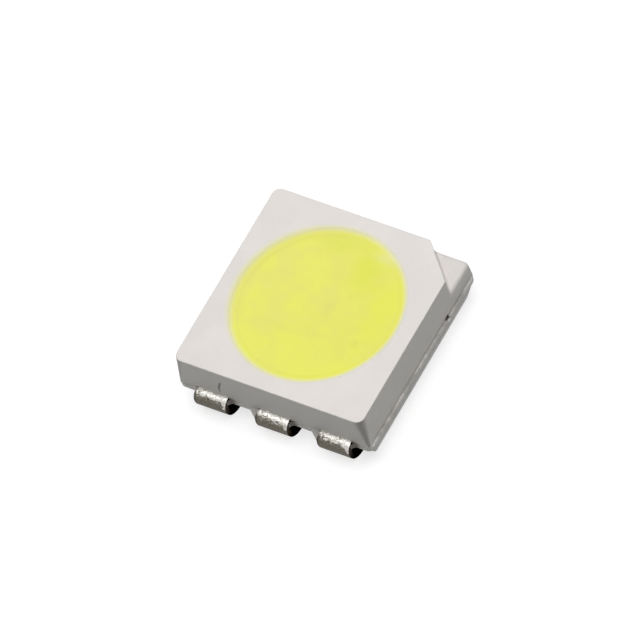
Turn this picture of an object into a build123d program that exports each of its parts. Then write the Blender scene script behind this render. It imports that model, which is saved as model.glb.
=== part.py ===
from build123d import *
import os
from math import atan2, cos, degrees, hypot, radians, sin, sqrt

# Surface-mount LED in a square moulded package. Millimetres, +Z up, origin on the board
# plane under the middle of the body. The lead rows face -Y (front) and +Y (back), and the
# cut corner that marks pin 1 is at +X +Y.

# Moulded body: an upper block, a thin parting band that stands proud, a narrower lower half
body_height = 1.60          # board plane to the top face
band_size = 5.00            # length of the parting band, the widest part
band_ledge = 0.03           # how far the band stands out beyond the upper block's foot
row_ledge = 0.015           # the same on the two lead sides
band_rise = 0.08            # band above the underside of the lead strip
band_drop = 0.04            # band below the underside of the lead strip
flank_lean = 0.035          # how far each upper flank leans inwards, foot to top
foot_corner = 0.04          # vertical corner radius at the upper block's foot
top_corner = 0.20           # and at the top face
top_edge_radius = 0.02      # rounding of the top face's outer edge
index_corner = 0.10         # vertical corner radius of the corner that carries the cut
shoulder_setback = 0.10     # lower half behind the band, on the two lead sides
end_taper = 0.16            # lower half narrows this much at each side without leads
row_taper = 0.18            # and this much at each lead side
base_corner = 0.04
base_bevel = 0.04           # bevel around the underside
standoff = 0.05             # underside above the board plane

# Cut corner: a 45 degree cut from the top face down to a ledge
cut_leg = 0.86              # measured along each side from the top face's square corner
cut_depth = 0.48
cut_root_radius = 0.05      # where the cut's upright face meets the ledge
ledge_edge_radius = 0.07    # soft outer edge of the ledge

# Recessed line and tie-bar pockets just above the band, on the two sides without leads
line_height = 0.09
line_depth = 0.02
line_end_margin = 0.20      # plain length left at each end of the line
pocket_y = 1.20
pocket_width = 0.14
pocket_depth = 0.16
pocket_drop = 0.08          # how far a pocket cuts down into the band

# Gate mark in the middle of the underside
gate_mark_diameter = 0.90
gate_mark_depth = 0.04

# Reflector cup, down to the lead strip, and the silicone in it
rim_width = 0.395           # narrowest part of the top face, beside the cup
cup_wall_run = 0.36         # how far the cup narrows at each side, mouth to floor
cup_rim_radius = 0.025
fill_drop = 0.02            # silicone edge below the top face
fill_hollow = 0.06          # middle of the silicone below its edge

# Leads: flat strip that leaves the body, turns down and folds under it
frame_level = 0.72          # top face of the flat strip above the board plane
lead_thickness = 0.15
lead_width = 0.82
outer_lead_margin = 0.49    # side of the body to the edge of an outer lead
lead_stub = 0.02            # straight run outside the body, before the first bend
lead_bend_radius = 0.065    # inside radius of the bend at the body
lead_upright = 0.03         # straight run down between the two bends
foot_length = 0.95          # outer face of the lead to the toe under the body
foot_clearance = 0.04       # between a foot and its recess in the underside
web_reach = 0.11            # rounded web of moulding beside each lead, out from the band
wide_web_length = 0.25      # straight web at one side of the second and third lead of a row
wide_web_reach = 0.20

# Pads: the parts of the leads that show in the cup floor
pad_gap = 0.18              # between neighbouring pads
pad_corner = 0.05
pad_overlap = 0.20          # pads run this far under the cup wall
pad_shoulder = 0.10         # where a pad widens from its neck, inside the cup floor's edge
side_pad_split_y = 0.10     # middle of the gap between front and back pads, outer columns
middle_pad_split_y = -0.30  # the same for the middle column

# Dies, their adhesive and the bond wires
die_length = 0.42
die_width = 0.34
die_height = 0.12
side_die_inset = 0.30       # middle of an outer die from the inner end of its pad
glue_thickness = 0.012      # between die and pad
glue_margin = 0.05          # bead around the die, on the pad
glue_climb = 0.03           # height of the bead against the die
wire_diameter = 0.026
wire_loop = 0.17            # top of the loop above its ball
wire_level_share = 0.40     # nearly level share of a wire's run, after the rise from the ball
wire_level_drop = 0.02
wire_bend_radius = 0.06
ball_diameter = 0.075
ball_height = 0.02
stitch_diameter = 0.085
stitch_height = 0.02
electrode_inset = 0.09      # ball centre from the die's edge
stitch_inset = 0.16         # stitch centre from the pad's inner edge
stitch_wall_margin = 0.28   # stitch centre from the cup wall, for a wire to the die's own pad
own_wire_angle = 50         # direction of that stitch from the cup's middle, for the outer dies

# Levels and lines that follow from the sizes above
frame_bottom = frame_level - lead_thickness
band_top = frame_bottom + band_rise
band_bottom = frame_bottom - band_drop
foot_size = band_size - 2 * band_ledge
band_width = foot_size + 2 * row_ledge
ledge_fade = band_ledge * sqrt(2) / (sqrt(2) - 1)
band_corner = foot_corner + ledge_fade
band_index_corner = index_corner + ledge_fade
top_size = foot_size - 2 * flank_lean
shoulder_width = band_size - 2 * shoulder_setback
base_length = band_size - 2 * end_taper
base_width = shoulder_width - 2 * row_taper
flank_slope = flank_lean / (body_height - band_top)
flank_at_frame = foot_size / 2 - flank_slope * (frame_level - band_top)
lead_pitch = band_size / 2 - outer_lead_margin - lead_width / 2
lead_outer_radius = lead_bend_radius + lead_thickness
foot_outer_radius = frame_level - lead_outer_radius - lead_upright
lead_face = flank_at_frame + lead_stub + lead_outer_radius
toe = lead_face - foot_length
cup_depth = body_height - frame_level
cup_mouth = top_size / 2 - rim_width
cup_floor = cup_mouth - cup_wall_run
stitch_circle = cup_floor - stitch_wall_margin
far = 2 * band_size         # reach of cutting blocks, well outside the body

columns = {"left": -1, "middle": 0, "right": 1}
rows = {"front": -1, "back": 1}


def box_between(low, high):
    size = [b - a for a, b in zip(low, high)]
    return Pos(*low) * Box(*size, align=(Align.MIN, Align.MIN, Align.MIN))


def body_outline(length, width, corner, marked_corner):
    corners = Rectangle(length, width).vertices().sort_by(lambda v: v.X + v.Y)
    outline = fillet(corners[:-1], corner)
    marked = outline.vertices().sort_by(lambda v: v.X + v.Y)[-1]
    return fillet(marked, marked_corner)


def stacked(*levels):
    # Solid through outlines laid one above the other, each given as (outline, height)
    return loft([Pos(0, 0, z) * outline for outline, z in levels], ruled=True)


def pad_limits(column, row):
    # Inner ends of a pad: the X limits of its column, and the Y where it stops in the cup
    split = middle_pad_split_y if column == "middle" else side_pad_split_y
    inner_y = split + rows[row] * pad_gap / 2
    if column == "middle":
        return -lead_width / 2, lead_width / 2, inner_y
    near = lead_width / 2 + pad_gap
    low_x, high_x = sorted((columns[column] * near, columns[column] * (cup_floor + pad_overlap)))
    return low_x, high_x, inner_y


# The leads

def make_lead(column, row):
    # Side view of the strip from its neck to its toe, as for the back row, in Y and Z
    neck_y = cup_floor - pad_shoulder
    inner_face = lead_face - lead_thickness
    strip = make_face(Polyline(
        (neck_y, frame_level), (lead_face, frame_level), (lead_face, 0), (toe, 0), (toe, lead_thickness),
        (inner_face, lead_thickness), (inner_face, frame_bottom), (neck_y, frame_bottom), close=True))
    bends = [
        (lead_face, frame_level, lead_outer_radius), (inner_face, frame_bottom, lead_bend_radius),
        (lead_face, 0, foot_outer_radius),
        (inner_face, lead_thickness, foot_outer_radius - lead_thickness)]
    for y, z, radius in bends:
        corner = strip.vertices().sort_by_distance((y, z, 0))[0]
        strip = fillet(corner, radius)
    lead = extrude(Plane.YZ * strip, lead_width / 2, both=True)
    side = rows[row]
    if side < 0:
        lead = mirror(lead, about=Plane.XZ)
    lead = Pos(columns[column] * lead_pitch, 0, 0) * lead

    # The pad in the cup floor
    low_x, high_x, inner_y = pad_limits(column, row)
    low_y, high_y = sorted((inner_y, side * (neck_y + 2 * pad_corner)))
    pad = box_between((low_x, low_y, frame_bottom), (high_x, high_y, frame_level))
    return lead + fillet(pad.edges().filter_by(Axis.Z), pad_corner)


leads = {}
for row in rows:
    for column in columns:
        leads[f"lead_{row}_{column}"] = make_lead(column, row)


# The dies, their adhesive and the wires

die_rows = {"left": "front", "middle": "back", "right": "front"}


def die_place(column):
    # An outer die lies midway between its pad's inner side and the cup wall, and the middle
    # die midway between its pad's inner end and the stitch of its own wire
    own = rows[die_rows[column]]
    inner_y = pad_limits(column, die_rows[column])[2]
    if column == "middle":
        return 0, (inner_y + own * stitch_circle) / 2
    y = inner_y + own * side_die_inset
    wall_x = sqrt(cup_floor ** 2 - (abs(y) + die_length / 2) ** 2)
    return columns[column] * (lead_width / 2 + pad_gap + wall_x) / 2, y


die_base = frame_level + glue_thickness
die_top = die_base + die_height


def make_die(column):
    x, y = die_place(column)
    return Pos(x, y, die_base + die_height / 2) * Box(die_width, die_length, die_height)


def make_glue(column, die):
    x, y = die_place(column)
    spread = 2 * glue_margin
    foot = RectangleRounded(die_width + spread, die_length + spread, glue_margin)
    lip = RectangleRounded(die_width + spread / 4, die_length + spread / 4, glue_margin / 4)
    bead = stacked((foot, frame_level), (lip, frame_level + glue_climb))
    return Pos(x, y, 0) * bead - die


def make_wire(ball_at, stitch_at):
    # Ball on the die, loop in one upright plane, stitch on the pad
    across = stitch_at[0] - ball_at[0], stitch_at[1] - ball_at[1]
    run = hypot(*across)
    ball_z = die_top + ball_height / 2
    peak_z = die_top + ball_height + wire_loop
    seat_z = frame_level + wire_diameter / 2
    path = FilletPolyline(
        (0, 0, ball_z), (0, 0, peak_z), (wire_level_share * run, 0, peak_z - wire_level_drop),
        (run - stitch_diameter / 2, 0, seat_z), (run, 0, seat_z), radius=wire_bend_radius)
    strand = sweep(Pos(0, 0, ball_z) * Circle(wire_diameter / 2), path=path)
    ball = Pos(0, 0, ball_z) * Cylinder(ball_diameter / 2, ball_height)
    ball = fillet(ball.edges().sort_by(Axis.Z)[-1], ball_height / 3)
    stitch = Pos(run, 0, frame_level + stitch_height / 2) * Cylinder(stitch_diameter / 2, stitch_height)
    heading = degrees(atan2(across[1], across[0]))
    return Pos(*ball_at) * Rot(0, 0, heading) * (strand + ball + stitch)


def wire_ends(column):
    # Each die has one wire to its own pad, away from the gap, and one across the gap
    x, y = die_place(column)
    own_row = die_rows[column]
    across_row = "back" if own_row == "front" else "front"
    own = rows[own_row]
    reach = die_length / 2 - electrode_inset
    angle = radians(90 if column == "middle" else own_wire_angle)
    own_stitch = (columns[column] * stitch_circle * cos(angle), own * stitch_circle * sin(angle))
    across_stitch = (x, pad_limits(column, across_row)[2] - own * stitch_inset)
    return {"own": ((x, y + own * reach), own_stitch), "across": ((x, y - own * reach), across_stitch)}


dies = {}
glues = {}
wires = {}
for column in columns:
    die = make_die(column)
    dies[f"led_die_{column}"] = die
    glues[f"die_attach_{column}"] = make_glue(column, die)
    for name, (ball, stitch) in wire_ends(column).items():
        wires[f"bond_wire_{column}_{name}"] = make_wire(ball, stitch)


# The moulded housing

def ledge_edges(block, ledge_z):
    # The edges around the ledge, with the one at the cut's upright face first
    level = block.edges().filter_by_position(Axis.Z, ledge_z, ledge_z)
    return level.sort_by(lambda edge: edge.center().X + edge.center().Y)


def make_upper_block():
    foot = body_outline(foot_size, foot_size, foot_corner, index_corner)
    top = body_outline(top_size, top_size, top_corner, index_corner)
    block = stacked((foot, band_top), (top, body_height))
    ledge_z = body_height - cut_depth
    cut_line = (top_size - cut_leg) / sqrt(2)
    block -= Rot(0, 0, 45) * box_between((cut_line, -far, ledge_z), (far, far, far))
    block = fillet(ledge_edges(block, ledge_z)[0], cut_root_radius)
    block = fillet(ledge_edges(block, ledge_z)[1:], ledge_edge_radius)
    block = fillet(block.faces().sort_by(Axis.Z)[-1].outer_wire().edges(), top_edge_radius)
    cup_align = (Align.CENTER, Align.CENTER, Align.MIN)
    block -= Pos(0, 0, frame_level) * Cone(cup_floor, cup_mouth, cup_depth, align=cup_align)
    rim = block.faces().sort_by(Axis.Z)[-1].inner_wires()[0]
    return fillet(rim.edges(), cup_rim_radius)


def wide_web_outline():
    # Plan of the straight web, with the lead's side at X 0 and the band's side at Y 0
    return make_face(Polyline(
        (0, -web_reach), (0, wide_web_reach), (wide_web_length, 0), (wide_web_length, -web_reach), close=True))


def round_web_outline():
    square = Pos(web_reach / 2, 0) * Rectangle(web_reach, 2 * web_reach)
    return square - Pos(web_reach, web_reach) * Circle(web_reach)


def make_band():
    # Its larger corner radii let the ledge die out at the corners
    band = body_outline(band_size, band_width, band_corner, band_index_corner)
    for side in rows.values():
        for column in columns.values():
            for flank in (-1, 1):
                # Moulded web that fills the corner between a lead and the band
                is_wide = flank == side and column != side
                web = wide_web_outline() if is_wide else round_web_outline()
                if flank < 0:
                    web = mirror(web, about=Plane.YZ)
                if side < 0:
                    web = mirror(web, about=Plane.XZ)
                band += Pos(column * lead_pitch + flank * lead_width / 2, side * band_width / 2) * web
    return Pos(0, 0, band_bottom) * extrude(band, band_top - band_bottom, dir=(0, 0, 1))


def make_lower_half():
    shoulder = body_outline(band_size, shoulder_width, band_corner, band_index_corner)
    base = body_outline(base_length, base_width, base_corner, index_corner)
    bevel = 2 * base_bevel
    sole = body_outline(base_length - bevel, base_width - bevel, base_corner, index_corner)
    half = stacked((sole, standoff), (base, standoff + base_bevel), (shoulder, band_bottom))
    gate = Pos(0, 0, standoff) * Cylinder(gate_mark_diameter / 2, 2 * gate_mark_depth)
    return half - gate


def side_cuts():
    # Recessed line and tie-bar pocket on each side without leads
    line_top = band_top + line_height
    line_reach = foot_size / 2 - line_end_margin
    cuts = []
    for side in (-1, 1):
        near, out = sorted((side * (foot_size / 2 - line_depth), side * far))
        cuts.append(box_between((near, -line_reach, band_top), (out, line_reach, line_top)))
        near, out = sorted((side * (foot_size / 2 - pocket_depth), side * far))
        low_y = pocket_y - pocket_width / 2
        high_y = pocket_y + pocket_width / 2
        cuts.append(box_between((near, low_y, band_top - pocket_drop), (out, high_y, line_top)))
    return cuts


def lead_cuts():
    # Channel in the band under each lead, and the recess that its foot lies in
    cuts = []
    foot_half = lead_width / 2 + foot_clearance
    for side in rows.values():
        for column in columns.values():
            x = column * lead_pitch
            low_y, high_y = sorted((side * shoulder_width / 2, side * far))
            cuts.append(box_between(
                (x - lead_width / 2, low_y, 0), (x + lead_width / 2, high_y, frame_bottom)))
            low_y, high_y = sorted((side * (toe - foot_clearance), side * far))
            cuts.append(box_between(
                (x - foot_half, low_y, 0), (x + foot_half, high_y, lead_thickness + foot_clearance)))
    return cuts


def make_housing():
    body = make_upper_block() + make_band() + make_lower_half()
    for cut in side_cuts() + lead_cuts():
        body -= cut
    for lead in leads.values():
        body -= lead
    return body


# The silicone that fills the cup over the dies and wires

def make_encapsulant():
    edge_z = body_height - fill_drop
    edge_radius = cup_floor + (cup_mouth - cup_floor) * (edge_z - frame_level) / cup_depth
    middle_z = edge_z - fill_hollow
    walls = Polyline((0, middle_z), (0, frame_level), (cup_floor, frame_level), (edge_radius, edge_z))
    surface = ThreePointArc((edge_radius, edge_z), (0, middle_z), (-edge_radius, edge_z))
    surface = surface.trim(0, 0.5)
    fill = revolve(Plane.XZ * make_face([walls, surface]), Axis.Z)
    for piece in [*dies.values(), *glues.values(), *wires.values()]:
        fill -= piece
    return fill


parts = {"housing": make_housing(), "encapsulant": make_encapsulant(), **leads, **dies, **glues, **wires}

os.makedirs("parts", exist_ok=True)
for name, shape in parts.items():
    export_step(shape, f"parts/{name}.step")
    print(name, round(shape.volume, 6), "mm3", len(shape.solids()), "solid")
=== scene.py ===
import math

import bpy
from mathutils import Matrix, Vector


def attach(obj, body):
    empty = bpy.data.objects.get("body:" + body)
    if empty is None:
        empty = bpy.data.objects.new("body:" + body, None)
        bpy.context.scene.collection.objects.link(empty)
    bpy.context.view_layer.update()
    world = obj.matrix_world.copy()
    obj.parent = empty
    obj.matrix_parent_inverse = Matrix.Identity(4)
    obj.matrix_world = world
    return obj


# White surface-mount light emitter with six folded leads, on a pale studio floor.
# Everything is in metres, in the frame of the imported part.

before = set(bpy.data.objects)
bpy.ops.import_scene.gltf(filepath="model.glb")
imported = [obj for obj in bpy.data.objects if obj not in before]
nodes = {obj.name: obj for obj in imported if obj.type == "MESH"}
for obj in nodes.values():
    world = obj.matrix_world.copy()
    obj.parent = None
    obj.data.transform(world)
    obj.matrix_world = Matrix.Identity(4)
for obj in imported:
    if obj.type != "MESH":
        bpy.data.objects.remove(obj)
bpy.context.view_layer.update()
print("frame loaded:", len(nodes), "solids")

# Sizes and colours that several finishes share
mm = 0.001
leadPitch = 1.6 * mm
leadHalfWidth = 0.41 * mm
black = (0.0, 0.0, 0.0)
# Grey for real grime and nicks, also used as painted shade at the upright corners and on the
# ledge
grimeAndShade = (0.30, 0.28, 0.27)


# Small helpers for node trees

def setInputs(tree, made, values):
    # Each value is the output socket of another node, or what the input is set to
    for name, value in values.items():
        if isinstance(value, bpy.types.NodeSocket):
            tree.links.new(value, made.inputs[name])
        else:
            made.inputs[name].default_value = value


def addNode(tree, kind, settings=None, values=None):
    made = tree.nodes.new(kind)
    for name, value in (settings or {}).items():
        setattr(made, name, value)
    setInputs(tree, made, values or {})
    return made


def addMath(tree, operation, *sources, clamp=False):
    settings = {"operation": operation, "use_clamp": clamp}
    return addNode(tree, "ShaderNodeMath", settings, dict(enumerate(sources))).outputs[0]


def multiply(tree, first, *others):
    for other in others:
        first = addMath(tree, "MULTIPLY", first, other)
    return first


def distanceTo(tree, source, middle):
    return addMath(tree, "ABSOLUTE", addMath(tree, "SUBTRACT", source, middle))


def addRamp(tree, source, start, end):
    # Smooth step from 0 at the start to 1 at the end; the start may be the larger of the two
    settings = {"interpolation_type": "SMOOTHSTEP", "clamp": True}
    values = {"Value": source, "From Min": start, "From Max": end}
    return addNode(tree, "ShaderNodeMapRange", settings, values).outputs["Result"]


def addMask(tree, measures, limits, strength=None):
    # Product of a ramp for each limit: its measure, where the ramp is 0 and where it is 1.
    # The strength is a number or the output socket of another node.
    ramps = [addRamp(tree, measures[name], start, end) for name, start, end in limits]
    return multiply(tree, *ramps) if strength is None else multiply(tree, *ramps, strength)


def addNoise(tree, vector, scale, detail, roughness, distortion=0.0):
    values = {"Vector": vector, "Scale": scale, "Detail": detail, "Roughness": roughness,
              "Distortion": distortion}
    return addNode(tree, "ShaderNodeTexNoise", None, values).outputs[0]


def mixColours(tree, mask, first, second, blend="MIX"):
    # Each colour is three numbers or the output socket of another node
    first, second = ((*colour, 1) if isinstance(colour, tuple) else colour
                     for colour in (first, second))
    settings = {"data_type": "RGBA", "blend_type": blend}
    return addNode(tree, "ShaderNodeMix", settings, {0: mask, 6: first, 7: second}).outputs[2]


def splitVector(tree, vector):
    return addNode(tree, "ShaderNodeSeparateXYZ", None, {0: vector}).outputs


columnStep, rowStep = 220, 260


def arrangeNodes(tree):
    # Each node stands one column to the left of the nodes that it feeds
    columns = {node.name: 0 for node in tree.nodes}
    moved = True
    while moved:
        moved = False
        for link in tree.links:
            if columns[link.from_node.name] <= columns[link.to_node.name]:
                columns[link.from_node.name] = columns[link.to_node.name] + 1
                moved = True
    rows = {}
    for node in tree.nodes:
        column = columns[node.name]
        rows[column] = rows.get(column, 0) + 1
        node.location = (-columnStep * column, -rowStep * rows[column])


def emptyTree(owner):
    owner.use_nodes = True
    owner.node_tree.nodes.clear()
    return owner.node_tree


def startMaterial(name):
    made = bpy.data.materials.new(name)
    tree = emptyTree(made)
    shader = addNode(tree, "ShaderNodeBsdfPrincipled")
    addNode(tree, "ShaderNodeOutputMaterial", None, {"Surface": shader.outputs[0]})
    return made, tree, shader, addNode(tree, "ShaderNodeTexCoord").outputs


def startGroup(name, inputs, outputs):
    # A group takes the place on the solid and some numbers, and gives numbers
    tree = bpy.data.node_groups.new(name, "ShaderNodeTree")
    tree.interface.new_socket(name="Vector", in_out="INPUT", socket_type="NodeSocketVector")
    for label, value in inputs.items():
        socket = tree.interface.new_socket(
            name=label, in_out="INPUT", socket_type="NodeSocketFloat")
        socket.default_value = value
    for label in outputs:
        tree.interface.new_socket(name=label, in_out="OUTPUT", socket_type="NodeSocketFloat")
    return tree, addNode(tree, "NodeGroupInput").outputs


def placeGroup(tree, group, vector, values):
    settings = {"node_tree": group}
    return addNode(tree, "ShaderNodeGroup", settings, {"Vector": vector, **values}).outputs


# Effects that several finishes share

grainShape = {
    "inputs": {"Grain Scale": 40000.0, "Cloud Scale": 900.0, "Cloud Share": 0.5},
    "grainDetail": (3.0, 0.6),
    "cloudDetail": (4.0, 0.55),
    "cloudHeight": 0.35,
}


def buildGrain(shape):
    # Fine surface grain over broad soft clouds: a tint around 0.5 and a height
    tree, given = startGroup("surfaceGrain", shape["inputs"], ("Tint", "Height"))
    grain = addNoise(tree, given["Vector"], given["Grain Scale"], *shape["grainDetail"])
    cloud = addNoise(tree, given["Vector"], given["Cloud Scale"], *shape["cloudDetail"])
    tint = addNode(tree, "ShaderNodeMix", {"data_type": "FLOAT"},
                   {0: given["Cloud Share"], 2: grain, 3: cloud})
    height = addMath(tree, "MULTIPLY_ADD", cloud, shape["cloudHeight"], grain)
    addNode(tree, "NodeGroupOutput", None, {"Tint": tint.outputs[0], "Height": height})
    arrangeNodes(tree)
    return tree


wearShape = {
    "inputs": {"Break Up Scale": 9000.0, "Strength": 1.0},
    "radius": 0.03 * mm,
    "samples": 4,
    "likeness": (0.995, 0.85),           # between the face's own normal and the rounded one
    "breakUpDetail": (4.0, 0.65),
    "patches": (0.42, 0.62),
}


def buildEdgeWear(shape):
    # 1 along outer edges, broken up by noise, 0 elsewhere
    tree, given = startGroup("edgeWear", shape["inputs"], ("Mask",))
    rounded = addNode(tree, "ShaderNodeBevel", {"samples": shape["samples"]},
                      {"Radius": shape["radius"]})
    facing = addNode(tree, "ShaderNodeNewGeometry")
    alike = addNode(tree, "ShaderNodeVectorMath", {"operation": "DOT_PRODUCT"},
                    {0: rounded.outputs[0], 1: facing.outputs["Normal"]})
    edge = addRamp(tree, alike.outputs["Value"], *shape["likeness"])
    broken = addNoise(tree, given["Vector"], given["Break Up Scale"], *shape["breakUpDetail"])
    worn = multiply(tree, edge, addRamp(tree, broken, *shape["patches"]))
    mask = addMath(tree, "MULTIPLY", worn, given["Strength"], clamp=True)
    addNode(tree, "NodeGroupOutput", None, {"Mask": mask})
    arrangeNodes(tree)
    return tree


speckInputs = {"Scale": 6000.0, "Size": 0.12, "Share": 0.15}


def buildSpecks(inputs):
    # Sparse small specks of dust or pits
    tree, given = startGroup("straySpecks", inputs, ("Mask",))
    cells = addNode(tree, "ShaderNodeTexVoronoi", None,
                    {"Vector": given["Vector"], "Scale": given["Scale"]})
    spot = addMath(tree, "LESS_THAN", cells.outputs["Distance"], given["Size"])
    parts = addNode(tree, "ShaderNodeSeparateColor", None, {0: cells.outputs["Color"]})
    chosen = addMath(tree, "LESS_THAN", parts.outputs[0], given["Share"])
    addNode(tree, "NodeGroupOutput", None, {"Mask": multiply(tree, spot, chosen)})
    arrangeNodes(tree)
    return tree


rimShape = {
    "inputs": {"Radius": 2.013 * mm, "Half Width": 0.12 * mm, "Spread": 0.02},
    "middle": (-0.033 * mm, 0.012 * mm),
    "farDirection": (-0.87, 0.5),
    "farSide": (0.2 * mm, 1.9 * mm),     # how far out the far side starts and is full
}


def buildRimFade(shape):
    # 0 over the silicone, 1 on the housing, with a soft step that Spread widens on the far side
    tree, given = startGroup("rimFade", shape["inputs"], ("Fade", "Far Side"))
    split = splitVector(tree, given["Vector"])
    x = addMath(tree, "ADD", split[0], -shape["middle"][0])
    y = addMath(tree, "SUBTRACT", split[1], shape["middle"][1])
    radius = addMath(tree, "SQRT", addMath(tree, "MULTIPLY_ADD", y, y, multiply(tree, x, x)))
    farSide = addMath(tree, "SUBTRACT", multiply(tree, y, shape["farDirection"][1]),
                      multiply(tree, x, -shape["farDirection"][0]))
    width = addMath(tree, "MULTIPLY_ADD", farSide, given["Spread"], given["Half Width"])
    step = addMath(tree, "DIVIDE", addMath(tree, "SUBTRACT", radius, given["Radius"]), width)
    addNode(tree, "NodeGroupOutput", None, {
        "Fade": addRamp(tree, step, -1.0, 1.0),
        "Far Side": addRamp(tree, farSide, *shape["farSide"])})
    arrangeNodes(tree)
    return tree


grainGroup = buildGrain(grainShape)
wearGroup = buildEdgeWear(wearShape)
speckGroup = buildSpecks(speckInputs)
rimGroup = buildRimFade(rimShape)
print("shared effects built")


# White moulded housing

# Each mark is laid over the ones before it, where all its limits hold. The measures that the
# limits name are listed in measureHousing.
housingLook = {
    "white": (0.785, 0.745, 0.715),
    "shade": (0.740, 0.704, 0.678),
    "shadeClouds": (0.40, 0.62),
    "grain": {"Grain Scale": 52000.0, "Cloud Scale": 1100.0, "Cloud Share": 0.6},
    "grainDepth": 0.0022 * mm,
    "grainStrength": 0.55,
    "roughness": 0.50,
    "roughnessRange": 0.16,
    "scatter": {"Subsurface Weight": 0.12, "Subsurface Radius": (1.0, 0.85, 0.7),
                "Subsurface Scale": 0.06 * mm},
    "edgeRadius": 0.018 * mm,
    "edgeSamples": 6,
    "cutCornerRadius": 0.09 * mm,
    "cutCornerSamples": 8,
    "cutCorner": (("offCut", 0.10 * mm, 0.25 * mm), ("z", 0.66 * mm, 0.76 * mm)),
    "cutLine": 4.01 * mm,
    "rimTint": (0.765, 0.765, 0.105),
    "rimLevels": (1.20 * mm, 1.45 * mm),
    "creaseFoot": (-1.391 * mm, 0.80 * mm),
    "creaseBend": 567.0,
    "cornerLevels": (0.66 * mm, 1.58 * mm),
    "cornerWidths": (0.035 * mm, 0.145 * mm),
    "partingLine": 0.65 * mm,
    "bandMiddle": 0.595 * mm,
    "pocketMiddle": 1.20 * mm,
    "scuffAndGlintSize": (1500.0, 4.0, 0.7),
    "scuffAndGlintStretch": (1.0, 1.0, 0.05),
    "marks": {
        # Painted shade along a slight step that curves down the front face to the left lead
        "crease": {
            "limits": (("offCrease", 0.042 * mm, 0.0147 * mm), ("z", 0.72 * mm, 1.02 * mm),
                       ("z", 1.265 * mm, 1.225 * mm), ("y", -2.3 * mm, -2.4 * mm)),
            "strength": 0.92, "colour": (0.15, 0.145, 0.14)},
        # Painted shade: the upright corners are darker, in a soft band that widens towards the
        # top
        "cornerShade": {
            "limits": (("offCorner", 1.9, 0.2), ("reach", 4.45 * mm, 4.62 * mm),
                       ("z", 0.655 * mm, 0.72 * mm), ("z", 1.598 * mm, 1.585 * mm),
                       ("tilt", 0.6, 0.3)),
            "strength": 0.85, "colour": grimeAndShade},
        # Painted shade colour: upright faces tinted a little greener than the top
        "uprightShadeTint": {
            "limits": (("tilt", 0.7, 0.3),), "colour": (0.975, 1.0, 0.975), "blend": "MULTIPLY"},
        # Painted shade darkens the parting band, a painted highlight runs pale along its top in
        # patches, and painted shade darkens its scuffed ledge in patches
        "band": {
            "limits": (("z", 0.59 * mm, 0.53 * mm), ("farX", 2.40 * mm, 2.46 * mm)),
            "strength": 0.34, "colour": black},
        "bandTop": {
            "limits": (("farX", 2.40 * mm, 2.46 * mm), ("offBand", 0.06 * mm, 0.02 * mm),
                       ("scuffsAndGlints", 0.40, 0.60)),
            "colour": (0.845, 0.85, 0.83)},
        "bandLedge": {
            "limits": (("farX", 2.40 * mm, 2.46 * mm), ("offLine", 0.007 * mm, 0.003 * mm),
                       ("scuffsAndGlints", 0.60, 0.40)),
            "strength": 0.65, "colour": grimeAndShade},
        # Painted shade, dark brown, in the small pockets near the parting line
        "pocketShade": {
            "limits": (("farX", 2.455 * mm, 2.445 * mm), ("farX", 2.27 * mm, 2.29 * mm),
                       ("z", 0.705 * mm, 0.66 * mm), ("z", 0.55 * mm, 0.565 * mm),
                       ("offPocket", 0.09 * mm, 0.08 * mm)),
            "colour": (0.22, 0.18, 0.155)},
        # Painted shade on the moulded webs beside the leads
        "webShade": {
            "limits": (("tilt", 0.5, 0.8), ("offLine", 0.015 * mm, 0.008 * mm),
                       ("farY", 2.44 * mm, 2.47 * mm)),
            "strength": 0.9, "colour": (0.40, 0.385, 0.37)},
        # Painted shadow, dark brown, on the moulding beside the edge of each lead that faces +X
        "shadowBesideLeads": {
            "limits": (("besideLead", 0.25 * mm, 0.07 * mm), ("besideLead", -0.03 * mm, 0.0),
                       ("z", 0.735 * mm, 0.66 * mm), ("farY", 2.42 * mm, 2.44 * mm)),
            "strength": 0.92, "colour": (0.085, 0.065, 0.048)},
        # Painted shade: the level floor of the cut corner is a little darker than the top face
        "cutFloor": {
            "limits": (("up", 0.7, 0.95), ("z", 1.22 * mm, 1.16 * mm),
                       ("z", 0.90 * mm, 1.00 * mm), ("offCut", 0.08 * mm, 0.40 * mm)),
            "strength": 0.12, "colour": black},
        # Painted light on the thin foot of the cut and the soft edge of its floor, where light
        # would shine through
        "cutFoot": {
            "limits": (("offCut", 0.20 * mm, 0.04 * mm), ("offCut", -0.03 * mm, 0.0),
                       ("z", 1.598 * mm, 1.58 * mm), ("z", 1.06 * mm, 1.11 * mm)),
            "strength": 0.45, "colour": (0.96, 0.90, 0.87)},
        "cutFloorEdge": {
            "limits": (("z", 0.93 * mm, 1.09 * mm), ("z", 1.14 * mm, 1.12 * mm),
                       ("x", 2.28 * mm, 2.36 * mm), ("offCut", -0.02 * mm, 0.10 * mm),
                       ("tilt", 0.75, 0.35)),
            "strength": 0.75, "colour": (0.97, 0.94, 0.92)},
    },
    "wear": {"Break Up Scale": 8000.0, "Strength": 0.35},
    "wearColour": (0.86, 0.84, 0.82),
    "nickedEdges": {"Break Up Scale": 14000.0, "Strength": 1.0},
    "nicks": {"Scale": 2600.0, "Size": 0.13, "Share": 0.55},
    "nickStrength": 0.7,
    "nickColour": grimeAndShade,
    "dust": {"Scale": 4200.0, "Size": 0.05, "Share": 0.12},
    "dustStrength": 0.35,
    "dustColour": (0.36, 0.34, 0.32),
}


def placeInPitch(tree, x):
    # How far along its own cell of the lead row a point is, with the lead in the middle
    positive = addMath(tree, "ADD", x, leadPitch * 2.5)
    return addMath(tree, "MODULO", positive, leadPitch)


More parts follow.
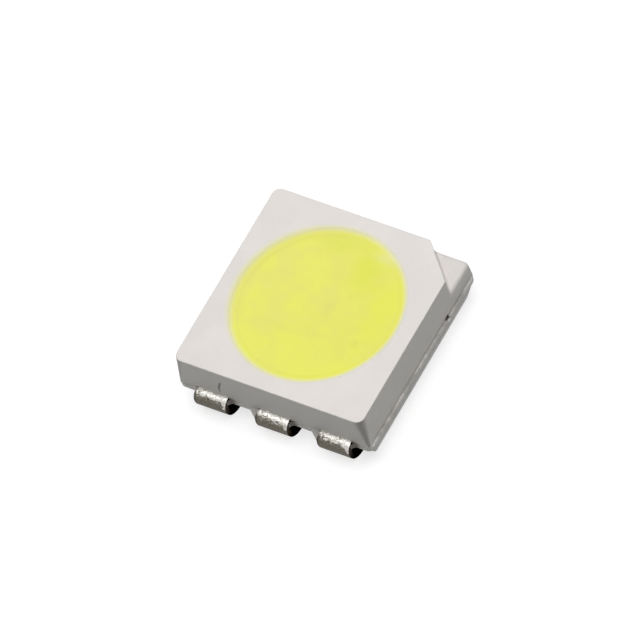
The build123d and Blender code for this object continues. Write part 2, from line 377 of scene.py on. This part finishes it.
def measureHousing(tree, place, look):
    # far is the distance from a middle plane, off the distance from a line or edge, up is 1
    # on a face that looks up, tilt is 0 on an upright face
    x, y, z = splitVector(tree, place["Object"])
    up = splitVector(tree, place["Normal"])[2]
    farX = addMath(tree, "ABSOLUTE", x)
    farY = addMath(tree, "ABSOLUTE", y)

    creaseX, creaseZ = look["creaseFoot"]
    rise = addMath(tree, "SUBTRACT", z, creaseZ)
    bend = multiply(tree, rise, rise)
    crease = addMath(tree, "MULTIPLY_ADD", bend, look["creaseBend"], creaseX)
    cornerWidth = addNode(tree, "ShaderNodeMapRange", {"clamp": True}, {
        "Value": z, "From Min": look["cornerLevels"][0], "From Max": look["cornerLevels"][1],
        "To Min": look["cornerWidths"][0], "To Max": look["cornerWidths"][1]})
    stretched = addNode(tree, "ShaderNodeMapping", None,
                        {"Vector": place["Object"], "Scale": look["scuffAndGlintStretch"]})
    return {
        "x": x, "y": y, "z": z, "farX": farX, "farY": farY, "up": up,
        "tilt": addMath(tree, "ABSOLUTE", up),
        "reach": addMath(tree, "ADD", farX, farY),
        "offCrease": distanceTo(tree, x, crease),
        "offCorner": addMath(tree, "DIVIDE", distanceTo(tree, farX, farY),
                             cornerWidth.outputs["Result"]),
        "offBand": distanceTo(tree, z, look["bandMiddle"]),
        "offLine": distanceTo(tree, z, look["partingLine"]),
        "offPocket": distanceTo(tree, y, look["pocketMiddle"]),
        "offCut": addMath(tree, "SUBTRACT", addMath(tree, "ADD", x, y), look["cutLine"]),
        "besideLead": addMath(tree, "SUBTRACT", placeInPitch(tree, x),
                              leadPitch / 2 + leadHalfWidth),
        "scuffsAndGlints": addNoise(tree, stretched.outputs[0], *look["scuffAndGlintSize"]),
    }


def makeHousingMaterial(look):
    made, tree, shader, place = startMaterial("whiteMoulding")
    vector = place["Object"]
    measures = measureHousing(tree, place, look)
    grain = placeGroup(tree, grainGroup, vector, look["grain"])
    colour = mixColours(tree, addRamp(tree, grain["Tint"], *look["shadeClouds"]),
                        look["shade"], look["white"])

    # A film of silicone and painted yellow light from it soften the rim of the cup
    fade = placeGroup(tree, rimGroup, vector, {})
    rim = multiply(tree, addMath(tree, "SUBTRACT", 1.0, fade["Fade"]),
                   addRamp(tree, measures["z"], *look["rimLevels"]))
    colour = mixColours(tree, rim, colour, look["rimTint"])

    for mark in look["marks"].values():
        mask = addMask(tree, measures, mark["limits"], mark.get("strength"))
        colour = mixColours(tree, mask, colour, mark["colour"], mark.get("blend", "MIX"))

    # Dull dust on the upper edges, small dark nicks along them and specks of dust
    wear = placeGroup(tree, wearGroup, vector, look["wear"])
    colour = mixColours(tree, wear["Mask"], colour, look["wearColour"])
    edges = placeGroup(tree, wearGroup, vector, look["nickedEdges"])
    nicks = placeGroup(tree, speckGroup, vector, look["nicks"])
    nicked = multiply(tree, edges["Mask"], nicks["Mask"], look["nickStrength"])
    colour = mixColours(tree, nicked, colour, look["nickColour"])
    dust = placeGroup(tree, speckGroup, vector, look["dust"])
    dusty = multiply(tree, dust["Mask"], look["dustStrength"])
    colour = mixColours(tree, dusty, colour, look["dustColour"])

    # The corner that carries the cut is worn rounder than the other edges
    rounded = addNode(tree, "ShaderNodeBevel", {"samples": look["edgeSamples"]},
                      {"Radius": look["edgeRadius"]})
    wornRound = addNode(tree, "ShaderNodeBevel", {"samples": look["cutCornerSamples"]},
                        {"Radius": look["cutCornerRadius"]})
    softened = addNode(tree, "ShaderNodeMix", {"data_type": "VECTOR"}, {
        0: addMask(tree, measures, look["cutCorner"]),
        4: rounded.outputs[0], 5: wornRound.outputs[0]})
    bump = addNode(tree, "ShaderNodeBump", None, {
        "Strength": look["grainStrength"], "Distance": look["grainDepth"],
        "Height": grain["Height"], "Normal": softened.outputs[1]})
    rough = addMath(tree, "MULTIPLY_ADD", grain["Tint"], look["roughnessRange"],
                    look["roughness"] - look["roughnessRange"] / 2)
    setInputs(tree, shader, {"Base Color": colour, "Roughness": rough,
                             "Normal": bump.outputs[0], **look["scatter"]})
    arrangeNodes(tree)
    return made


# Yellow phosphor silicone

# The marks are soft ellipses: pads and dies that show faintly through the phosphor, places where
# it lies deeper or thinner, painted shade by the far wall of the cup and a painted highlight
# near the back of the rim. Their middle and half size are in millimetres.
siliconeLook = {
    "yellow": (0.805, 0.812, 0.100),
    "pale": (0.775, 0.762, 0.130),
    "paleClouds": (0.36, 0.60),
    "rim": (0.785, 0.745, 0.715),
    "rimGlow": (0.97, 0.98, 0.12),
    "rimGlowStrength": 0.20,
    "rimShadeStrength": 0.30,
    "shaded": (0.755, 0.735, 0.108),
    "shadedRing": {"Radius": 1.82 * mm, "Half Width": 0.20 * mm},
    "litStrength": 0.12,
    "grain": {"Grain Scale": 34000.0, "Cloud Scale": 1300.0, "Cloud Share": 0.7},
    "grainDepth": 0.003 * mm,
    "grainStrength": 0.4,
    "roughness": 0.42,
    "roughnessRange": 0.14,
    "scatter": {"Subsurface Weight": 0.2, "Subsurface Radius": (1.0, 0.95, 0.3),
                "Subsurface Scale": 0.08 * mm},
    "unevenSize": (3200.0, 3.0, 0.6),
    "unevenness": 1.4,
    "markFade": (1.7, 0.1),
    "marks": {
        "padsBack": {"at": (0.05, 1.00), "size": (0.42, 0.38), "strength": 0.40,
                     "colour": (0.770, 0.750, 0.128)},
        "padsLeft": {"at": (-1.13, 0.27), "size": (0.46, 0.34), "strength": 0.40,
                     "colour": (0.770, 0.750, 0.150)},
        "padsMiddle": {"at": (0.20, 0.00), "size": (0.44, 0.40), "strength": 0.40,
                       "colour": (0.770, 0.750, 0.150)},
        "dieMiddle": {"at": (0.25, 0.02), "size": (0.12, 0.26), "strength": 0.20,
                      "colour": (0.68, 0.64, 0.12)},
        "padsFront": {"at": (-0.79, -0.60), "size": (0.60, 0.26), "strength": 0.45,
                      "colour": (0.770, 0.750, 0.160)},
        "dieLeft": {"at": (-0.72, -0.78), "size": (0.55, 0.10), "strength": 0.16,
                    "colour": (0.70, 0.66, 0.12)},
        "dieRight": {"at": (1.25, -0.57), "size": (0.11, 0.10), "strength": 0.32,
                     "colour": (0.66, 0.62, 0.10)},
        "deepLeft": {"at": (-0.50, 1.52), "size": (0.34, 0.26), "strength": 0.70,
                     "colour": (0.765, 0.775, 0.078)},
        "deepBack": {"at": (0.50, 1.50), "size": (0.26, 0.42), "strength": 0.80,
                     "colour": (0.765, 0.785, 0.074)},
        "deepFront": {"at": (0.30, -1.45), "size": (1.25, 0.40), "strength": 0.60,
                      "colour": (0.830, 0.840, 0.090)},
        "deepRight": {"at": (1.43, 0.58), "size": (0.40, 0.85), "strength": 0.85,
                      "colour": (0.790, 0.812, 0.064)},
        "deepCorner": {"at": (0.66, 1.15), "size": (0.34, 0.50), "strength": 0.85,
                       "colour": (0.735, 0.765, 0.050)},
        # Painted shade where the far wall of the cup shades the silicone near the rim
        "farWallShade": {"at": (-0.35, 1.74), "size": (0.80, 0.30), "strength": 0.95,
                    "colour": (0.740, 0.755, 0.082)},
        "thinLeft": {"at": (-1.80, 0.10), "size": (0.14, 0.75), "strength": 0.40,
                     "colour": (0.775, 0.758, 0.170)},
        # Painted highlight, pale, near the back of the rim
        "backRimHighlight": {"at": (0.95, 1.66), "size": (0.36, 0.16), "strength": 0.65,
                     "colour": (0.805, 0.790, 0.300)},
    },
}


def addEllipse(tree, x, y, mark, uneven, fade):
    # 1 in the middle of the mark, 0 outside it, with an uneven edge
    offX, offY = (
        addMath(tree, "DIVIDE", addMath(tree, "SUBTRACT", axis, middle * mm), size * mm)
        for axis, middle, size in zip((x, y), mark["at"], mark["size"]))
    apart = addMath(tree, "MULTIPLY_ADD", offY, offY, multiply(tree, offX, offX))
    apart = addMath(tree, "ADD", addMath(tree, "SQRT", apart), uneven)
    return multiply(tree, addRamp(tree, apart, *fade), mark["strength"])


def makeSiliconeMaterial(look):
    made, tree, shader, place = startMaterial("phosphorSilicone")
    vector = place["Object"]
    x, y = splitVector(tree, vector)[:2]
    grain = placeGroup(tree, grainGroup, vector, look["grain"])
    colour = mixColours(tree, addRamp(tree, grain["Tint"], *look["paleClouds"]),
                        look["pale"], look["yellow"])

    uneven = addMath(tree, "MULTIPLY_ADD", addNoise(tree, vector, *look["unevenSize"]),
                     look["unevenness"], -look["unevenness"] / 2)
    for mark in look["marks"].values():
        mask = addEllipse(tree, x, y, mark, uneven, look["markFade"])
        colour = mixColours(tree, mask, colour, mark["colour"])

    # Duller towards -X +Y, where the wall of the cup shades the silicone, and lit opposite
    ring = placeGroup(tree, rimGroup, vector, look["shadedRing"])
    shaded = multiply(tree, ring["Fade"], ring["Far Side"])
    colour = mixColours(tree, shaded, colour, look["shaded"])
    lit = multiply(tree, addMath(tree, "SUBTRACT", 1.0, ring["Far Side"]), ring["Fade"],
                   look["litStrength"])
    colour = mixColours(tree, lit, colour, look["rimGlow"])

    # Paler where the layer thins out at the rim of the cup, with painted shade on its far side
    # and painted light on the near side
    fade = placeGroup(tree, rimGroup, vector, {})
    nearRim = multiply(tree, fade["Fade"], addMath(tree, "SUBTRACT", 1.0, fade["Fade"]))
    farRim = multiply(tree, nearRim, fade["Far Side"])
    litRim = addMath(tree, "SUBTRACT", nearRim, farRim)
    colour = mixColours(tree, fade["Fade"], colour, look["rim"])
    colour = mixColours(tree, multiply(tree, farRim, look["rimShadeStrength"]), colour, black)
    colour = mixColours(tree, multiply(tree, litRim, look["rimGlowStrength"]), colour,
                        look["rimGlow"])

    bump = addNode(tree, "ShaderNodeBump", None, {
        "Strength": look["grainStrength"], "Distance": look["grainDepth"],
        "Height": grain["Height"]})
    rough = addMath(tree, "MULTIPLY_ADD", grain["Tint"], look["roughnessRange"],
                    look["roughness"] - look["roughnessRange"] / 2)
    setInputs(tree, shader, {"Base Color": colour, "Roughness": rough,
                             "Normal": bump.outputs[0], **look["scatter"]})
    arrangeNodes(tree)
    return made


# Silver plated lead strip

stripLook = {
    "silver": (0.64, 0.63, 0.595),
    "worn": (0.36, 0.348, 0.315),
    "shadedSide": (0.175, 0.158, 0.126),
    "shadedSidePale": (0.285, 0.258, 0.208),
    "scratched": (0.045, 0.038, 0.030),
    "sheared": (0.150, 0.112, 0.085),
    "shearedDeep": (0.006, 0.005, 0.004),
    "inside": (0.003, 0.0025, 0.002),
    "shadedSideMirror": 0.34,
    "roughness": 0.20,
    "roughnessRange": 0.34,
    "grainStretch": {"Scale": (0.5, 1.0, 1.0), "Rotation": (0, 0.25, 0.25)},
    "creaseSize": (17000.0, 5.0, 0.65, 0.8),
    "creaseDepth": 0.010 * mm,
    "creaseStrength": 0.8,
    "teethSize": (13000.0, 4.0, 0.6, 1.4),
    "teethDepth": 1.6,
    "stainSize": (30000.0, 3.0, 0.6),
    "wornClouds": (0.38, 0.58),
    "shadedSideClouds": (0.40, 0.66),
    "solePull": (-1.4, -0.5),            # how the sole's level counts against a top face's
    "brightEdgeInsets": (0.13 * mm, 0.03 * mm),  # in from the edge towards +X
    "brightEdgePull": 0.42,
    "borderSlope": 320.0,
    "borderLevel": 0.62,
    "brightReflection": (0.63, 0.92),
    "scratches": (("offBorder", 0.16, 0.04), ("creases", 0.52, 0.60)),
    "scratchStrength": 0.8,
    "soil": (("aside", -0.335 * mm, -0.395 * mm), ("teeth", 0.36, 0.50),
             ("z", 0.40 * mm, 0.52 * mm)),
    "soilStrength": 0.75,
    "cutFaces": (("side", 0.55, 0.85),),
    "cutFacesInView": (("farY", 2.54 * mm, 2.64 * mm), ("z", 0.18 * mm, 0.62 * mm)),
    "insideFold": (("farY", 2.575 * mm, 2.545 * mm), ("farY", 1.70 * mm, 1.72 * mm),
                   ("z", 0.004 * mm, 0.03 * mm), ("z", 0.62 * mm, 0.58 * mm)),
    "outerFold": (("z", 0.47 * mm, 0.43 * mm), ("up", -0.02, -0.10)),
}


def makeStripMaterial(look):
    made, tree, shader, place = startMaterial("silverPlatedStrip")
    vector = place["Object"]
    x, y, z = splitVector(tree, vector)
    facing = splitVector(tree, place["Normal"])
    stretched = addNode(tree, "ShaderNodeMapping", None,
                        {"Vector": vector, **look["grainStretch"]}).outputs[0]
    creases = addNoise(tree, stretched, *look["creaseSize"])
    teeth = addNoise(tree, stretched, *look["teethSize"])
    inCell = placeInPitch(tree, x)
    aside = addMath(tree, "SUBTRACT", inCell, leadPitch / 2)

    # Painted reflection: level faces are painted bright like lit plating and upright ones dark,
    # with a ragged border between that runs askew. The edge towards +X is painted bright further
    # down.
    sole = addMath(tree, "MULTIPLY_ADD", facing[2], *look["solePull"])
    level = addMath(tree, "MAXIMUM", facing[2], sole)
    ragged = addMath(tree, "MULTIPLY_ADD", teeth, look["teethDepth"], -look["teethDepth"] / 2)
    ragged = addMath(tree, "ADD", ragged, level)
    edge = leadPitch / 2 + leadHalfWidth
    brightEdge = addRamp(tree, inCell, *(edge - inset for inset in look["brightEdgeInsets"]))
    ragged = addMath(tree, "MULTIPLY_ADD", brightEdge, look["brightEdgePull"], ragged)
    ragged = addMath(tree, "MULTIPLY_ADD", aside, look["borderSlope"], ragged)
    brightReflection = addRamp(tree, ragged, *look["brightReflection"])
    measures = {
        "z": z, "up": facing[2], "aside": aside, "creases": creases, "teeth": teeth,
        "farY": addMath(tree, "ABSOLUTE", y), "side": addMath(tree, "ABSOLUTE", facing[0]),
        "offBorder": distanceTo(tree, ragged, look["borderLevel"]),
    }

    # Fine dark scratches gather along the border of the painted bright part, and dirt towards -X
    stain = addNoise(tree, vector, *look["stainSize"])
    bright = mixColours(tree, addRamp(tree, stain, *look["wornClouds"]),
                        look["worn"], look["silver"])
    dark = mixColours(tree, addRamp(tree, stain, *look["shadedSideClouds"]),
                      look["shadedSide"], look["shadedSidePale"])
    scratched = addMask(tree, measures, look["scratches"], look["scratchStrength"])
    dark = mixColours(tree, scratched, dark, look["scratched"])
    colour = mixColours(tree, brightReflection, dark, bright)
    soiled = addMask(tree, measures, look["soil"], look["soilStrength"])
    colour = mixColours(tree, soiled, colour, look["scratched"])

    # Cut edges of the strip: brown oxide where they stand out from the body, near black painted
    # shade further in, and painted shade, near black, on the inside of each fold. The outside of
    # the lower fold faces down, is left out of that shade, and keeps its plating.
    sheared = addMask(tree, measures, look["cutFaces"])
    inView = addMask(tree, measures, look["cutFacesInView"])
    cutFace = mixColours(tree, inView, look["shearedDeep"], look["sheared"])
    colour = mixColours(tree, sheared, colour, cutFace)
    outerFold = addMask(tree, measures, look["outerFold"])
    inside = addMask(tree, measures, look["insideFold"],
                     addMath(tree, "SUBTRACT", 1.0, outerFold))
    colour = mixColours(tree, inside, colour, look["inside"])

    # Bare cut metal has oxidised and the insides painted as shade no longer mirror; the faces
    # painted dark mirror less
    oxideAndShade = addMath(tree, "MAXIMUM", sheared, inside)
    mirror = addMath(tree, "MULTIPLY_ADD", brightReflection, 1 - look["shadedSideMirror"], look["shadedSideMirror"])
    bump = addNode(tree, "ShaderNodeBump", None, {
        "Strength": look["creaseStrength"], "Distance": look["creaseDepth"], "Height": creases})
    setInputs(tree, shader, {
        "Base Color": colour,
        "Metallic": multiply(tree, addMath(tree, "SUBTRACT", 1.0, oxideAndShade), mirror),
        "Specular IOR Level": 0.0,
        "Roughness": addMath(tree, "MULTIPLY_ADD", creases, look["roughnessRange"],
                             look["roughness"]),
        "Normal": bump.outputs[0]})
    arrangeNodes(tree)
    return made


# Parts sealed in the silicone

sealedLooks = {
    "led_die": {
        "name": "dieCrystal", "colours": ((0.35, 0.42, 0.46), (0.62, 0.68, 0.66)),
        "grain": {"Grain Scale": 90000.0, "Cloud Scale": 6000.0, "Cloud Share": 0.4},
        "roughness": 0.08, "values": {"IOR": 1.77}},
    "die_attach": {
        "name": "dieAdhesive", "colours": ((0.58, 0.55, 0.48), (0.74, 0.71, 0.64)),
        "grain": {"Grain Scale": 60000.0, "Cloud Scale": 9000.0, "Cloud Share": 0.6},
        "roughness": 0.15, "values": {}},
    "bond_wire": {
        "name": "goldWire", "colours": ((0.72, 0.50, 0.16), (0.95, 0.74, 0.36)),
        "grain": {"Grain Scale": 120000.0, "Cloud Scale": 8000.0, "Cloud Share": 0.5},
        "roughness": 0.12, "values": {"Metallic": 1.0}},
}
sealedRoughnessRange = 0.2


def makeSealedMaterial(look):
    made, tree, shader, place = startMaterial(look["name"])
    grain = placeGroup(tree, grainGroup, place["Object"], look["grain"])
    rough = addMath(tree, "MULTIPLY_ADD", grain["Tint"], sealedRoughnessRange, look["roughness"])
    setInputs(tree, shader, {
        "Base Color": mixColours(tree, grain["Tint"], *look["colours"]),
        "Roughness": rough, **look["values"]})
    arrangeNodes(tree)
    return made


finishes = {
    "housing": makeHousingMaterial(housingLook),
    "encapsulant": makeSiliconeMaterial(siliconeLook),
    "lead": makeStripMaterial(stripLook),
}
for start, look in sealedLooks.items():
    finishes[start] = makeSealedMaterial(look)
for nodeName, node in nodes.items():
    finish = next(made for start, made in finishes.items() if nodeName.startswith(start))
    for slot in node.material_slots:
        slot.material = finish
print("finishes placed on the solids")


# Meniscus: the silicone climbs to the rim of the cup in a thin soft ring

meniscusShape = {
    "steps": 160,
    "outer": (2.058 * mm, 1.5988 * mm),
    "loops": [(2.030 * mm, 1.5925 * mm), (1.990 * mm, 1.5862 * mm), (1.940 * mm, 1.5802 * mm),
              (1.880 * mm, 1.5746 * mm), (1.820 * mm, 1.5695 * mm), (1.770 * mm, 1.5650 * mm),
              (1.760 * mm, 1.4500 * mm), (1.980 * mm, 1.4500 * mm), (2.058 * mm, 1.5700 * mm)],
    "mergeDistance": 0.0001 * mm,
    "smoothAngle": math.radians(50),
}


def makeMeniscus(shape):
    bpy.ops.object.select_all(action="DESELECT")
    radius, height = shape["outer"]
    bpy.ops.mesh.primitive_circle_add(
        vertices=shape["steps"], radius=radius, location=(0, 0, height))
    ring = bpy.context.active_object
    ring.name = "siliconeMeniscus"
    bpy.ops.object.transform_apply(location=True, rotation=True, scale=True)
    bpy.ops.object.mode_set(mode="EDIT")
    bpy.ops.mesh.select_all(action="SELECT")
    for nextRadius, nextHeight in [*shape["loops"], shape["outer"]]:
        bpy.ops.mesh.extrude_region()
        bpy.ops.transform.resize(value=(nextRadius / radius, nextRadius / radius, 1))
        bpy.ops.transform.translate(value=(0, 0, nextHeight - height))
        radius, height = nextRadius, nextHeight
    bpy.ops.mesh.select_all(action="SELECT")
    bpy.ops.mesh.remove_doubles(threshold=shape["mergeDistance"])
    bpy.ops.mesh.normals_make_consistent(inside=False)
    bpy.ops.object.mode_set(mode="OBJECT")
    bpy.ops.object.shade_smooth_by_angle(angle=shape["smoothAngle"])
    ring.data.materials.append(finishes["encapsulant"])
    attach(ring, "root")


makeMeniscus(meniscusShape)
print("meniscus placed")


# Studio: pale floor, white world, one large soft lamp overhead

studioLook = {
    "floorSize": 600 * mm,
    "floorMiddle": (40 * mm, 0, -0.001 * mm),
    "floorColour": (0.42, 0.42, 0.42, 1),
    "floorGlow": 0.72,
    "lightColour": (1, 1, 1, 1),
    "worldLight": 0.04,
    "lampSize": 72 * mm,
    "lampPlace": (1 * mm, 5.5 * mm, 60 * mm),
    "lampWatts": 0.0455,
}


def shownRay(tree):
    # 1 for what the camera sees, directly, in a mirror finish or through glass
    path = addNode(tree, "ShaderNodeLightPath").outputs
    direct = addMath(tree, "MAXIMUM", path["Is Camera Ray"], path["Is Glossy Ray"])
    return addMath(tree, "MAXIMUM", direct, path["Is Transmission Ray"])


def makeFloorMaterial(look):
    made = bpy.data.materials.new("floorPaper")
    tree = emptyTree(made)
    paper = addNode(tree, "ShaderNodeBsdfDiffuse", None, {"Color": look["floorColour"]})
    glow = addNode(tree, "ShaderNodeEmission", None, {
        "Color": look["lightColour"],
        "Strength": multiply(tree, shownRay(tree), look["floorGlow"])})
    both = addNode(tree, "ShaderNodeAddShader", None, {0: paper.outputs[0], 1: glow.outputs[0]})
    # From below the floor is clear, so the underside of the object can be looked at
    clear = addNode(tree, "ShaderNodeBsdfTransparent")
    sideSeen = addNode(tree, "ShaderNodeNewGeometry")
    oneSided = addNode(tree, "ShaderNodeMixShader", None, {
        0: sideSeen.outputs["Backfacing"], 1: both.outputs[0], 2: clear.outputs[0]})
    addNode(tree, "ShaderNodeOutputMaterial", None, {"Surface": oneSided.outputs[0]})
    arrangeNodes(tree)
    return made


def makeFloor(look):
    bpy.ops.object.select_all(action="DESELECT")
    bpy.ops.mesh.primitive_plane_add(size=look["floorSize"], location=look["floorMiddle"])
    floor = bpy.context.active_object
    floor.name = "studioFloor"
    floor.data.materials.append(makeFloorMaterial(look))


def makeWorld(look):
    world = bpy.data.worlds.new("studioWorld")
    bpy.context.scene.world = world
    tree = emptyTree(world)
    strength = addNode(tree, "ShaderNodeMix", {"data_type": "FLOAT"},
                       {0: shownRay(tree), 2: look["worldLight"], 3: 1.0})
    sky = addNode(tree, "ShaderNodeBackground", None,
                  {"Color": look["lightColour"], "Strength": strength.outputs[0]})
    addNode(tree, "ShaderNodeOutputWorld", None, {"Surface": sky.outputs[0]})
    arrangeNodes(tree)


def makeLamp(look):
    lamp = bpy.data.lights.new("overheadSoftbox", "AREA")
    lamp.shape = "SQUARE"
    lamp.size = look["lampSize"]
    lamp.energy = look["lampWatts"]
    lampObject = bpy.data.objects.new("overheadSoftbox", lamp)
    lampObject.location = look["lampPlace"]
    bpy.context.scene.collection.objects.link(lampObject)


makeFloor(studioLook)
makeWorld(studioLook)
makeLamp(studioLook)
bpy.context.scene.view_settings.view_transform = "Standard"
print("studio ready")


# Camera: nearly parallel view from above, with the front leads and the cut corner in sight

cameraPlace = {
    "right": (0.8558, 0.4705, -0.2144),
    "up": (-0.2995, 0.7891, 0.5361),
    "back": (0.4214, -0.3946, 0.8162),
    "aim": (0, 0, 1.6 * mm),
    "shiftRight": 0.048 * mm,
    "shiftUp": -0.3367 * mm,
    "distance": 316 * mm,
    "lens": 800,
    "sensorWidth": 36,
    "clipping": (10 * mm, 5000 * mm),
}


def makeCamera(place):
    lens = bpy.data.cameras.new("studioCamera")
    lens.sensor_width = place["sensorWidth"]
    lens.lens = place["lens"]
    lens.clip_start, lens.clip_end = place["clipping"]
    camera = bpy.data.objects.new("studioCamera", lens)
    bpy.context.scene.collection.objects.link(camera)
    right, up, back = (Vector(place[name]) for name in ("right", "up", "back"))
    aim = Vector(place["aim"]) + right * place["shiftRight"] + up * place["shiftUp"]
    spot = aim + back * place["distance"]
    axes = Matrix((right, up, back)).transposed().to_4x4()
    camera.matrix_world = Matrix.Translation(spot) @ axes
    bpy.context.scene.camera = camera


makeCamera(cameraPlace)
print("camera placed")
